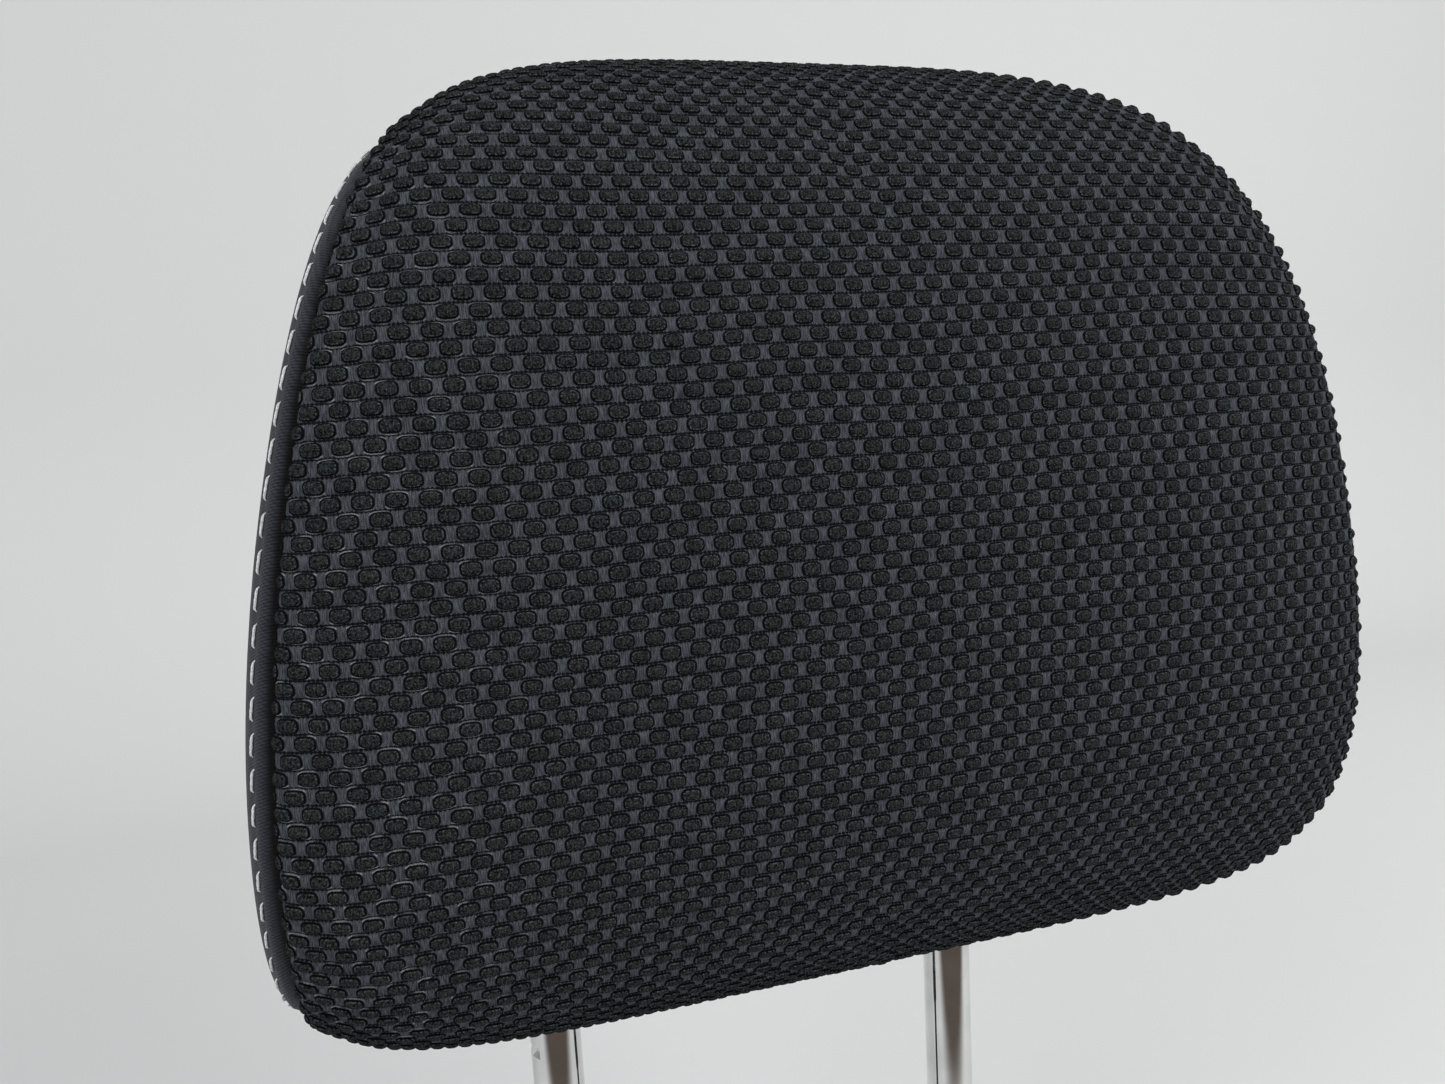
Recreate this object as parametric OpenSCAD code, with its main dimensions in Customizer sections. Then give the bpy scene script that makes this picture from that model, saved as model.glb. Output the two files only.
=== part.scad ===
// Padded seat headrest on a two-post steel frame, held in a pair of seat guide sleeves.
// The pad tilts forward about the frame's cross bar, the posts slide up and down in the
// sleeves, and a button on one sleeve draws a lock wire out of the post's notches.
// Frame: +Z up, -Y towards the sitter's head, +X across the seat. The origin lies midway
// between the posts, on the seat face that carries the sleeve flanges.

/* [Cushion] */
// Half width of the wrap panel at mid height
pad_half_w = 101; // [96:1:110]
// Half height of the pad
pad_half_h = 96; // [92:1:104]
// Depth from the pad's widest section to its front face
pad_front = 66; // [60:1:72]
// Depth from the pad's widest section to its back face
pad_back = 56; // [55:1:60]
// How far the posts stand behind the pad's widest section
post_setback = 31; // [28:1:32]
// Backward lean of the pad, as depth over height
pad_lean = 0.04; // [0:0.01:0.05]
// Roundness of the front of the side profile, where 2 is an ellipse
front_power = 2.85; // [2.4:0.05:3.5]
// Roundness of the back of the side profile
back_power = 5.5; // [4.5:0.1:6.5]
// Narrowing of the pad from its middle to its top, as a share of the half width
taper = 0.14; // [0.08:0.01:0.18]
// Extra rounding of the outline at the top and bottom, as a share of the half width
pinch = 0.12; // [0.05:0.01:0.15]
// Further rounding of the two top corners, as a share of the half width
top_round = 0.05; // [0:0.01:0.08]
// How far the wrap panel falls at its side seams along the top
drop_top = 12; // [8:1:18]
// How far the wrap panel falls at its side seams along the underside
drop_bottom = 12; // [6:1:14]
// How far the wrap panel falls at its side seams on the front and back
drop_face = 4; // [3:1:8]
// Swell of each side panel beyond its seam
side_swell = 6; // [3:1:9]
// Thickness of the laminated cover fabric
cover_t = 2; // [1.5:0.1:3]

/* [Posts] */
// Diameter of the chromed posts
post_d = 13; // [12:0.5:14]
// Distance between the two post axes
post_spacing = 112; // [108:1:116]
// Centreline radius of the bends into the cross bar
bend_r = 28; // [24:1:32]
// Length of post below the mounting face at rest
post_below = 80; // [76:1:100]
// Distance between lock notches
notch_pitch = 15; // [12:1:18]
// Number of lock notches, the lowest of which is level with the lock at rest
notch_count = 5; // [3:1:6]

/* [Motion] */
// Height of the tilt axis above the pad's lowest point
axis_above_pad = 62; // [58:1:68]
// Clear length of post between the sleeve and the pad at rest
bare_post = 92; // [70:1:100]
// Forward tilt of the pad at its stop, in degrees
tilt_max = 15; // [8:1:15]
// Travel of the release button
button_travel = 3; // [2:0.5:3]

/* [Guide sleeves] */
// Outer diameter of the sleeve barrel
barrel_d = 20; // [19:0.5:22]
// Length of the barrel below the seat face
barrel_len = 60; // [45:1:70]
// Height of the sleeve head above the seat face
head_h = 12; // [11:0.5:15]
// Radial clearance of the post in its sleeve
slide_gap = 0.08; // [0.04:0.01:0.1]

/* [Hidden] */
$fn = 48;
gap = 0.3;
post_r = post_d / 2;
post_x = post_spacing / 2;
pad_bottom = head_h + bare_post;
pad_mid = pad_bottom + pad_half_h;
axis_z = pad_bottom + axis_above_pad;

// Rings of the pad: points around the side profile, and stations across its width
ring_n = 72;
wrap_n = 24;
dome_n = 4;
knit_from = -132;
knit_to = 129;

// Core shells
core_w = 142;
core_front_y = -34;
core_rear_y = 14.5;
core_low = -40;
core_high = 44;
core_wall = 2.5;
core_r = 9;
floor_slot_w = 18;
boss_x = 62;
boss_z = 34;
boss_r = 4.5;
core_screw_r = 1.9;

// Tilt bushes, clips and stop
bush_len = 14;
bush_wall = 2.5;
bush_x = 18;
clip_t = 2;
clip_gap = 0.05;
clip_ear = 12;
stop_w = 9;
stop_len = 24;
stop_t = 6;
rib_gap = 0.3;

// Slot that lets the posts swing in the pad, and its bezel
slot_w = post_d + 3.4;
slot_front = axis_above_pad * tan(tilt_max) + post_r + 2.5;
slot_rear = post_r + 1.8;
bezel_rim = 4;
bezel_wall = 1.6;
bezel_recess = 5;
bezel_flange_t = 3.2;
bezel_collar = 10;

// Sleeve heads, button and lock wire
head_x = 34;
head_y = 28;
head_r = 7;
lead_in = 1.2;
pocket_y = 12;
pocket_z = 6.4;
lock_z = 6.2;
wire_r = 0.8;
wire_y = 4.2;
button_out = -post_x - head_x / 2 - button_travel - 0.4;
button_in = -post_x - post_r - 6;
notch_depth = 1.8;
notch_h = 3;

// Closing strips: plate, riser and lip of each hook
strip_len = 84;
front_hook = [[-5, -0.3, 0.3, 1.5], [-1.5, -0.3, 0.3, 5], [-1.5, 2.4, 3.8, 5]];
rear_hook = [[0.3, 8, 0.3, 1.5], [3.2, 4.4, 0.3, 3.4], [0.6, 4.4, 2.2, 3.4]];

foam_gap = 0.6;
stitch_pitch = 6;
stitch_len = 4.2;
stitch_r = 0.4;

function spow(v, e) = sign(v) * pow(abs(v), e);
function clamp01(v) = min(max(v, 0), 1);
function unit(v) = v / max(norm(v), 0.000001);

// Signed fractions of the depth and height at profile angle p: 0 front, 90 top, 270 bottom
function roundness(p) = cos(p) > 0 ? front_power : back_power;
function depth_at(p) = spow(cos(p), 2 / roundness(p));
function height_at(p) = spow(sin(p), 2 / roundness(p));
function half_depth(c) = c > 0 ? pad_front : pad_back;

// Outward normal of the profile as [y, z]
function normal_at(p) =
    let (c = depth_at(p), s = height_at(p), e = roundness(p) - 1)
    unit([-spow(c, e) / half_depth(c), spow(s, e) / pad_half_h]);

// Blend of a value for the top, the underside and the two upright faces
function by_side(n, top, bottom, face) =
    let (wt = pow(clamp01(n[1]), 2), wb = pow(clamp01(-n[1]), 2))
    wt * top + wb * bottom + (1 - wt - wb) * face;

function half_width(p) =
    let (s = height_at(p))
    pad_half_w * (1 - taper * s - pinch * s * s - top_round * pow(clamp01(s), 4));

// Point of the wrap at profile angle p and cross position u (-1 to 1), sunk by off
function wrap_point(p, u, off) =
    let (c = depth_at(p), s = height_at(p), n = normal_at(p),
        fall = by_side(n, drop_top, drop_bottom, drop_face),
        power = by_side(n, 4, 3, 16),
        sink = fall * pow(abs(u), power) + off)
    [u * (half_width(p) - off),
        -post_setback - half_depth(c) * c + pad_lean * pad_half_h * s - n[0] * sink,
        pad_mid + pad_half_h * s - n[1] * sink];

function ring_angle(i) = 360 * i / ring_n;
function wrap_ring(u, off) = [for (i = [0:ring_n - 1]) wrap_point(ring_angle(i), u, off)];
function mean(pts) = [for (k = [0:2]) [for (q = pts) q[k]] * [for (q = pts) 1] / len(pts)];

// Ring of a side panel at t (0 at the seam, 1 at its middle) on side sx
function dome_ring(sx, t, off) =
    let (seam = wrap_ring(sx, off), mid = mean(seam))
    [for (q = seam) [q[0] * (1 - t) + mid[0] * t + sx * side_swell * (1 - pow(1 - t, 2)),
        mid[1] + (q[1] - mid[1]) * (1 - t), mid[2] + (q[2] - mid[2]) * (1 - t)]];

// Closed solid through a list of rings with the same number of points
module loft(rings) {
    n = len(rings[0]);
    m = len(rings);
    polyhedron(
        [for (r = rings) each r],
        concat(
            [[for (i = [0:n - 1]) i]],
            [for (j = [0:m - 2], i = [0:n - 1]) let (k = (i + 1) % n)
                each [[j * n + i, (j + 1) * n + i, j * n + k],
                    [j * n + k, (j + 1) * n + i, (j + 1) * n + k]]],
            [[for (i = [n - 1:-1:0]) (m - 1) * n + i]]));
}

// Closed solid between an outer and an inner grid of rows by columns
module sheet(outer, inner) {
    r = len(outer);
    c = len(outer[0]);
    t = r * c;
    polyhedron(
        concat([for (row = outer) each row], [for (row = inner) each row]),
        concat(
            [for (j = [0:r - 2], i = [0:c - 2]) let (a = j * c + i)
                each [[a, a + c, a + 1], [a + 1, a + c, a + c + 1]]],
            [for (j = [0:r - 2], i = [0:c - 2]) let (a = t + j * c + i)
                each [[a, a + 1, a + c], [a + 1, a + c + 1, a + c]]],
            [for (i = [0:c - 2]) each [[i, i + 1, t + i], [i + 1, t + i + 1, t + i]]],
            [for (i = [0:c - 2]) let (a = (r - 1) * c + i)
                each [[a, t + a, a + 1], [a + 1, t + a, t + a + 1]]],
            [for (j = [0:r - 2]) let (a = j * c)
                each [[a, t + a, a + c], [a + c, t + a, t + a + c]]],
            [for (j = [0:r - 2]) let (a = j * c + c - 1)
                each [[a, a + c, t + a], [a + c, t + a + c, t + a]]]));
}

// Upright prism with a rounded rectangle for its outline, built from true arcs
module rounded_box(x0, x1, y0, y1, z0, z1, r) {
    translate([0, 0, z0]) linear_extrude(z1 - z0) {
        translate([x0 + r, y0]) square([x1 - x0 - 2 * r, y1 - y0]);
        translate([x0, y0 + r]) square([x1 - x0, y1 - y0 - 2 * r]);
        for (x = [x0 + r, x1 - r], y = [y0 + r, y1 - r]) translate([x, y]) circle(r);
    }
}

// Prism around a post's swing in the pad, grown by g
module swing_slot(sx, g, z0, z1) {
    rounded_box(sx * post_x - slot_w / 2 - g, sx * post_x + slot_w / 2 + g,
        -slot_front - g, slot_rear + g, z0, z1, slot_w / 2 + g - 0.01);
}

module bar_x(r, x0, x1) {
    translate([x0, 0, 0]) rotate([0, 90, 0]) cylinder(r = r, h = x1 - x0);
}

// Openings of the foam and the cover around the bezels
module bezel_pockets() {
    for (sx = [-1, 1]) {
        swing_slot(sx, gap, pad_bottom - 5, axis_z);
        swing_slot(sx, bezel_wall + gap, pad_bottom - 5, pad_bottom + bezel_recess + bezel_collar + gap);
        swing_slot(sx, bezel_rim + gap, pad_bottom - 5, pad_bottom + bezel_recess + 1.8);
    }
}

module wrap_panel(from, to, rows, inset) {
    us = [for (i = [0:wrap_n]) 2 * i / wrap_n - 1];
    sheet([for (j = [0:rows]) [for (u = us) wrap_point(from + (to - from) * j / rows, u, 0)]],
        [for (j = [0:rows]) [for (u = us) wrap_point(from + (to - from) * j / rows, u, inset)]]);
}

module cover_front() {
    color("#23262a") difference() {
        wrap_panel(knit_from, knit_to, 42, cover_t);
        bezel_pockets();
    }
}

module cover_back() {
    color("#1d2028") wrap_panel(knit_to + 0.6, 360 + knit_from - 0.6, 19, cover_t);
}

// Side panel from just outside the wrap's seam edge to its middle
module cover_side(sx) {
    steps = [for (k = [0:dome_n]) 0.94 * pow(k / dome_n, 1.3)];
    outer = [for (t = steps) [for (q = dome_ring(sx, t, 0)) q + [sx * (cover_t + 0.2), 0, 0]]];
    inner = [for (t = steps) [for (q = dome_ring(sx, t, 0)) q + [sx * 0.2, 0, 0]]];
    rings = concat(outer, [for (k = [dome_n:-1:0]) inner[k]]);
    color("#1a1d2a") dish(sx > 0 ? rings : [for (k = [len(rings) - 1:-1:0]) rings[k]]);
}

// Dish: outer rings to the middle, then back along the inner rings
module dish(rings) {
    n = len(rings[0]);
    m = len(rings);
    half = m / 2;
    polyhedron(
        [for (r = rings) each r],
        concat(
            [for (j = [0:m - 1], i = [0:n - 1]) if (j != half - 1)
                let (k = (i + 1) % n, b = (j + 1) % m)
                each [[j * n + i, b * n + i, j * n + k], [j * n + k, b * n + i, b * n + k]]],
            [[for (i = [n - 1:-1:0]) (half - 1) * n + i]],
            [[for (i = [0:n - 1]) half * n + i]]));
}

// Short straight stitches that follow the side panel just inside its seam
module topstitch(sx) {
    line = [for (q = dome_ring(sx, 0.06, 0)) q + [sx * (cover_t + 0.2 + stitch_r), 0, 0]];
    seg = [for (i = [0:ring_n - 1]) norm(line[(i + 1) % ring_n] - line[i])];
    start = [for (i = 0, s = 0; i < ring_n; s = s + seg[i], i = i + 1) s];
    total = start[ring_n - 1] + seg[ring_n - 1];
    count = floor(total / stitch_pitch);
    color("#c9cbce") for (k = [0:count - 1]) {
        s = k * total / count;
        i = max([for (j = [0:ring_n - 1]) if (start[j] <= s) j]);
        d = unit(line[(i + 1) % ring_n] - line[i]);
        translate(line[i] + d * (s - start[i]) + [sx * 0.15, 0, 0])
            rotate([0, acos(d[2]), atan2(d[1], d[0])])
                cylinder(r = stitch_r, h = stitch_len, center = true, $fn = 16);
    }
}

module foam_pad() {
    inset = cover_t + foam_gap;
    dome = [for (k = [1:dome_n]) 0.9 * pow(k / dome_n, 1.3)];
    color("#d8c98f") difference() {
        loft(concat(
            [for (k = [dome_n - 1:-1:0]) dome_ring(-1, dome[k], inset)],
            [for (i = [0:wrap_n]) wrap_ring(2 * i / wrap_n - 1, inset)],
            [for (k = [0:dome_n - 1]) dome_ring(1, dome[k], inset)]));
        bezel_pockets();
        translate([0, 0, axis_z]) rounded_box(-core_w / 2 - gap, core_w / 2 + gap,
            core_front_y - gap, core_rear_y + gap, core_low - gap, core_high + gap, core_r + gap);
        closing_channel();
    }
}

// Frame of the closing seam: across the pad, with y along the panels and z into the pad
module at_closing() {
    q = wrap_point(knit_from - 0.3, 0, cover_t + 1.5);
    n = normal_at(knit_from);
    translate([0, q[1], q[2]]) rotate([atan2(n[0], -n[1]), 0, 0]) children();
}

module closing_channel() {
    at_closing() translate([-strip_len / 2 - 1, -9, -1]) cube([strip_len + 2, 18, 7.5]);
}

// Extruded strip along the closing seam from outline rectangles [y0, y1, z0, z1]
module closing_strip(boxes) {
    color("#15161a") at_closing() rotate([90, 0, 90]) linear_extrude(strip_len, center = true)
        for (b = boxes) translate([b[0], b[2]]) square([b[1] - b[0], b[3] - b[2]]);
}

module post_bezel(sx) {
    top = pad_bottom + bezel_recess;
    color("#17181b") difference() {
        union() {
            swing_slot(sx, bezel_rim, top - bezel_flange_t, top);
            swing_slot(sx, bezel_wall, top - 0.5, top + bezel_collar);
        }
        swing_slot(sx, 0, top - 5, top + bezel_collar + 5);
    }
}

// Outer box of the core, cut to one side of the post plane
module core_blank(y0, y1) {
    intersection() {
        rounded_box(-core_w / 2, core_w / 2, core_front_y, core_rear_y, core_low, core_high, core_r);
        translate([-core_w, y0, core_low - 1]) cube([2 * core_w, y1 - y0, core_high - core_low + 2]);
    }
}

module core_hollow() {
    rounded_box(-core_w / 2 + core_wall, core_w / 2 - core_wall, core_front_y + core_wall,
        core_rear_y - core_wall, core_low + core_wall, core_high - core_wall, core_r - core_wall);
    for (sx = [-1, 1]) rounded_box(sx * post_x - floor_slot_w / 2, sx * post_x + floor_slot_w / 2,
        -slot_front - 1, post_r + 2.5, core_low - 1, core_low + core_wall + 1, 3);
}

module boss(x, z, y0, y1, r) {
    translate([x, y0, z]) rotate([-90, 0, 0]) cylinder(r = r, h = y1 - y0);
}

// Reaction rib for the stop plate, leaning by the tilt angle it stops
module stop_rib(y0, y1, lean) {
    rotate([-lean, 0, 0]) translate([-stop_w / 2, y0, 12]) cube([stop_w, y1 - y0, stop_len - 12]);
}

module core_front() {
    color("#2b2c2e") translate([0, 0, axis_z]) difference() {
        union() {
            difference() {
                core_blank(core_front_y, -0.1);
                core_hollow();
            }
            for (x = [-boss_x, boss_x]) boss(x, boss_z, core_front_y + 1, -0.1, boss_r);
            for (x = [-bush_x, bush_x]) boss(x, clip_ear + 6, core_front_y + 1, -core_ear_y(), boss_r);
            intersection() {
                stop_rib(-40, -stop_t / 2 - rib_gap, 0);
                core_blank(core_front_y + 1, -0.1);
            }
        }
        for (x = [-boss_x, boss_x]) boss(x, boss_z, core_front_y + 3, 1, core_screw_r);
        for (x = [-bush_x, bush_x]) boss(x, clip_ear + 6, core_front_y + 3, 1, core_screw_r);
    }
}

function core_ear_y() = post_r + bush_wall + clip_gap + clip_t + 0.2;

module core_rear() {
    color("#2b2c2e") translate([0, 0, axis_z]) difference() {
        union() {
            difference() {
                core_blank(0.1, core_rear_y);
                core_hollow();
            }
            for (x = [-boss_x, boss_x]) boss(x, boss_z, 0.1, core_rear_y - 1, boss_r);
            intersection() {
                stop_rib(stop_t / 2 + rib_gap, 60, tilt_max);
                core_blank(0.1, core_rear_y - 1);
            }
        }
        for (x = [-boss_x, boss_x]) {
            boss(x, boss_z, -1, core_rear_y + 1, core_screw_r + 0.25);
            boss(x, boss_z, core_rear_y - 4, core_rear_y + 1, 3.8);
        }
    }
}

// Pan-head screw along Y from its head at head_y to its tip, with a hexagon socket
module screw(x, z, head_y, tip_y) {
    translate([x, head_y, z]) rotate([90, 0, 0]) difference() {
        union() {
            cylinder(r = 3.4, h = 2.2);
            cylinder(r = core_screw_r - 0.02, h = head_y - tip_y);
        }
        translate([0, 0, -0.1]) cylinder(r = 1.4, h = 1.4, $fn = 6);
    }
}

module core_screws() {
    color("#8d9196") translate([0, 0, axis_z]) for (x = [-boss_x, boss_x])
        screw(x, boss_z, core_rear_y - 1.7, core_front_y + 8);
}

// Spring band around a bush, closed to its two ears by a screw
module friction_clip(sx) {
    r0 = post_r + bush_wall + clip_gap;
    w = bush_len - 2;
    color("#6f747a") translate([sx * bush_x, 0, axis_z]) difference() {
        union() {
            bar_x(r0 + clip_t, -w / 2, w / 2);
            translate([-w / 2, -r0 - clip_t, 0]) cube([w, clip_t, clip_ear + 12]);
        }
        bar_x(r0, -w, w);
        translate([0, -r0 - clip_t - 1, clip_ear + 6]) rotate([-90, 0, 0])
            cylinder(r = core_screw_r + 0.2, h = clip_t + 2);
        translate([-w, -0.6, r0 - 1]) cube([2 * w, 1.2, clip_t + 2]);
    }
}

module clip_screws() {
    r0 = post_r + bush_wall + clip_gap;
    color("#8d9196") translate([0, 0, axis_z]) for (sx = [-1, 1])
        screw(sx * bush_x, clip_ear + 6, -r0 + 2.2, core_front_y + 8);
}

module post_bar() {
    straight = axis_z - bend_r + post_below;
    for (sx = [-1, 1]) {
        translate([sx * post_x, 0, -post_below + 1.5]) cylinder(r = post_r, h = straight - 1.5);
        translate([sx * post_x, 0, -post_below])
            cylinder(r1 = post_r - 1.5, r2 = post_r, h = 1.5);
        translate([sx * (post_x - bend_r), 0, axis_z - bend_r]) rotate([90, 0, 0])
            rotate([0, 0, sx > 0 ? 0 : 90]) rotate_extrude(angle = 90) translate([bend_r, 0])
                circle(post_r);
    }
    translate([0, 0, axis_z]) bar_x(post_r, -post_x + bend_r, post_x - bend_r);
}

// One-piece bent bar with lock notches milled on the outer side of the left post
module post_frame() {
    color("silver") difference() {
        post_bar();
        for (k = [0:notch_count - 1]) translate([-post_x - post_r, 0, lock_z + k * notch_pitch])
            cube([2 * notch_depth, post_d + 1, notch_h], center = true);
    }
}

module tilt_bush(sx) {
    color("#d9d9d2") translate([sx * bush_x, 0, axis_z]) difference() {
        bar_x(post_r + bush_wall, -bush_len / 2, bush_len / 2);
        bar_x(post_r, -bush_len, bush_len);
    }
}

module stop_plate() {
    color("#5d6166") translate([0, 0, axis_z]) difference() {
        union() {
            bar_x(post_r + bush_wall, -stop_w / 2, stop_w / 2);
            translate([-stop_w / 2, -stop_t / 2, 0]) cube([stop_w, stop_t, stop_len]);
        }
        bar_x(post_r, -stop_w, stop_w);
    }
}

// Guide sleeve: barrel in the seat frame, head on the seat face, bore for the post
module sleeve_body(cx) {
    translate([cx, 0, -barrel_len]) cylinder(d = barrel_d, h = barrel_len + 1);
    rounded_box(cx - head_x / 2, cx + head_x / 2, -head_y / 2, head_y / 2, 0, head_h - 2, head_r);
    rounded_box(cx - head_x / 2 + 1.5, cx + head_x / 2 - 1.5, -head_y / 2 + 1.5, head_y / 2 - 1.5,
        head_h - 2.5, head_h, head_r - 1.5);
}

module sleeve_bore(cx) {
    translate([cx, 0, -barrel_len - 1]) cylinder(r = post_r + slide_gap, h = barrel_len + head_h + 2);
    translate([cx, 0, head_h - lead_in])
        rotate_extrude() polygon([[0, 0], [post_r + slide_gap, 0],
            [post_r + slide_gap + lead_in, lead_in + 0.01], [0, lead_in + 0.01]]);
}

module guide_sleeve_right() {
    color("#1b1c1f") difference() {
        sleeve_body(post_x);
        sleeve_bore(post_x);
    }
}

// The left sleeve also holds the button and the lock wire in a pocket
module guide_sleeve_left() {
    color("#1b1c1f") difference() {
        sleeve_body(-post_x);
        sleeve_bore(-post_x);
        translate([-post_x - head_x / 2 - 1, -pocket_y / 2, lock_z - pocket_z / 2])
            cube([head_x / 2 + 3, pocket_y, pocket_z]);
    }
}

module wire_legs(r) {
    for (y = [-wire_y, wire_y]) translate([button_in - 4.5, y, lock_z]) rotate([0, 90, 0])
        cylinder(r = r, h = 4.5 + 1.6);
}

module release_button() {
    color("#26272a") difference() {
        translate([button_out, -pocket_y / 2 + gap, lock_z - pocket_z / 2 + gap])
            cube([button_in - button_out, pocket_y - 2 * gap, pocket_z - 2 * gap]);
        for (dz = [-1.6, 0, 1.6]) translate([button_out, 0, lock_z + dz])
            cube([1.2, pocket_y - 3, 0.8], center = true);
        wire_legs(wire_r + 0.02);
    }
}

// U-shaped lock wire, drawn back beside the post and clear of its notches
module lock_wire() {
    color("#9aa0a6") {
        wire_legs(wire_r);
        translate([button_in + 1.6, 0, lock_z]) rotate([90, 0, 0])
            cylinder(r = wire_r, h = 2 * (wire_y + wire_r), center = true);
    }
}

cover_front();
cover_back();
cover_side(-1);  // cover_side_left
cover_side(1);  // cover_side_right
topstitch(-1);  // topstitch_left
topstitch(1);  // topstitch_right
foam_pad();
closing_strip(front_hook);  // closing_strip_front
closing_strip(rear_hook);  // closing_strip_rear
post_bezel(-1);  // post_bezel_left
post_bezel(1);  // post_bezel_right
core_front();
core_rear();
core_screws();
friction_clip(-1);  // friction_clip_left
friction_clip(1);  // friction_clip_right
clip_screws();
post_frame();
tilt_bush(-1);  // tilt_bush_left
tilt_bush(1);  // tilt_bush_right
stop_plate();
guide_sleeve_left();
guide_sleeve_right();
release_button();
lock_wire();
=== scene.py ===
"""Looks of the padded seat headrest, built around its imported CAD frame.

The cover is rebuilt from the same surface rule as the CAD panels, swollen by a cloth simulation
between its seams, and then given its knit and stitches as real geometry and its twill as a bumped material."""
import math

import bpy
import numpy as np
from mathutils import Matrix, Vector


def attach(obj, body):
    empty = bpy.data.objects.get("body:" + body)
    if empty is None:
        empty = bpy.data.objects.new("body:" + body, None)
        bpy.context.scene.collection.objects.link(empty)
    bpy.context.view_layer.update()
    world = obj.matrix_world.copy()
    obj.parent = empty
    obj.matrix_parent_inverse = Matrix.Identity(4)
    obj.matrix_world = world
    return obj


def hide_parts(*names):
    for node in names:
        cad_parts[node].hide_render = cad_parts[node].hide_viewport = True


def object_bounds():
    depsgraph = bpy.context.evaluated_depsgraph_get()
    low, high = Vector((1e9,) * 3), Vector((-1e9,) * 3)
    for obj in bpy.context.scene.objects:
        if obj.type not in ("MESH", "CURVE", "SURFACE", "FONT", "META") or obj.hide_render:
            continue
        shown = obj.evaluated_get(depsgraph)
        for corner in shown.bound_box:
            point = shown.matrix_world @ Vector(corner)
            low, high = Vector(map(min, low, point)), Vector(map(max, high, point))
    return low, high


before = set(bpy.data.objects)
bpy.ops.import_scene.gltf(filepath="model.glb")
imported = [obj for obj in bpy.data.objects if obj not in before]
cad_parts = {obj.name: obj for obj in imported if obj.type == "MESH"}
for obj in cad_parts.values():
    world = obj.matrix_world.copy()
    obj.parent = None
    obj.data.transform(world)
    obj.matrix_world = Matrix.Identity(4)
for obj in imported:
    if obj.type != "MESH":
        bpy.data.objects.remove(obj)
cad_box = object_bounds()
MM = 0.001

# ---------------------------------------------------------------- measures of the pad, in metres
HALF_W = 101.4 * MM
HALF_H = 95.3 * MM
FRONT = 65.7 * MM
BACK = 56 * MM
SETBACK = 31 * MM
MID_Z = 200 * MM
LEAN = 0.04
FRONT_POWER = 2.85
BACK_POWER = 5.5
TAPER, PINCH, TOP_ROUND = 0.14, 0.113, 0.045
DROP_TOP, DROP_BOTTOM, DROP_FACE = 12 * MM, 13 * MM, 3.5 * MM
SEAM_ROLL = 3.0 * MM  # tight roll of the cover just before its side seams
KNIT_FROM, KNIT_TO = -132.0, 129.0

# ---------------------------------------------------------------- measures of the cover
CELL_W = 4.94 * MM  # column pitch of the knit
ROW_H = 2.74 * MM  # row pitch of the knit
WANDER = 0.15 * MM  # stray of the knit from its even grid
COLS_PER_CELL = 8
LINES_PER_ROW = 5
SHOULDER = 3.05 * MM  # how far a side panel puffs out beside its seam
SHOULDER_RUN = 7.0 * MM
SWELL = 3.4 * MM
STITCH_PITCH = 5.6 * MM
STITCH_LEN = 4.1 * MM
STITCH_R = 0.21 * MM
STITCH_INSET = 3.1 * MM
SEAM_SINK = 1.5 * MM  # depth of the valley where two panels are sewn together
COVER_FILL = 0.8  # how full the padded panels are

# ---------------------------------------------------------------- posts' slots in the underside
POST_X = 56 * MM
SLOT_FROM, SLOT_TO = -17.4 * MM, 0.1 * MM
FLANGE_R = 12.2 * MM
FLANGE_TOP = 109.4 * MM


# ================================================================ surface rule
def spow(v, e):
    return np.sign(v) * np.abs(v) ** e


def profile(p):
    """Depth and height fractions and the outward normal (y, z) at profile angle p in degrees."""
    a = np.radians(p)
    c, s = np.cos(a), np.sin(a)
    e = np.where(c > 0, FRONT_POWER, BACK_POWER)
    c, s = spow(c, 2 / e), spow(s, 2 / e)
    half = np.where(c > 0, FRONT, BACK)
    ny, nz = -spow(c, e - 1) / half, spow(s, e - 1) / HALF_H
    n = np.hypot(ny, nz)
    return c, s, ny / n, nz / n


def half_width(p):
    s = profile(p)[1]
    return HALF_W * (1 - TAPER * s - PINCH * s * s - TOP_ROUND * np.clip(s, 0, 1) ** 4)


def wrap_point(p, u):
    """Points of the wrap at profile angle p and cross position u (-1 to 1)."""
    c, s, ny, nz = profile(p)
    top, low = np.clip(nz, 0, 1) ** 2, np.clip(-nz, 0, 1) ** 2
    face = 1 - top - low
    fall = top * DROP_TOP + low * DROP_BOTTOM + face * DROP_FACE
    power = 4 * top + 3 * low + 16 * face
    sink = fall * np.abs(u) ** power + SEAM_ROLL * np.abs(u) ** 30
    half = np.where(c > 0, FRONT, BACK)
    x = u * half_width(p)
    y = -SETBACK - half * c + LEAN * HALF_H * s
    return np.stack([x, y - ny * sink, MID_Z + HALF_H * s - nz * sink], -1)


def seam_inset(run):
    """How far a side panel stands out beside its seam, at a distance along it from the seam."""
    t = np.clip(run / SHOULDER_RUN, 0, 1)
    return SHOULDER * np.sqrt(1 - (1 - t) ** 2)


def stretched(ring, mid, seam, k):
    """The cross position of a seam ring spread smoothly inwards, as a stretched skin does."""
    turn = np.arctan2(ring[:, 2] - mid[2], ring[:, 1] - mid[1])
    order = np.argsort(turn)
    even = np.arange(256) / 256 * 2 * np.pi - np.pi
    wave = np.fft.rfft(np.interp(even, turn[order], ring[order, 0], period=2 * np.pi)) / 256
    at = np.arctan2(seam[..., 2] - mid[2], seam[..., 1] - mid[1]) + np.pi
    out, flat = np.full(at.shape, wave[0].real), np.full(at.shape, wave[0].real)
    for n in range(1, 25):
        part = 2 * (wave[n] * np.exp(1j * n * at)).real
        flat += part
        out += part * (1 - k) ** n
    return out, flat


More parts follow.
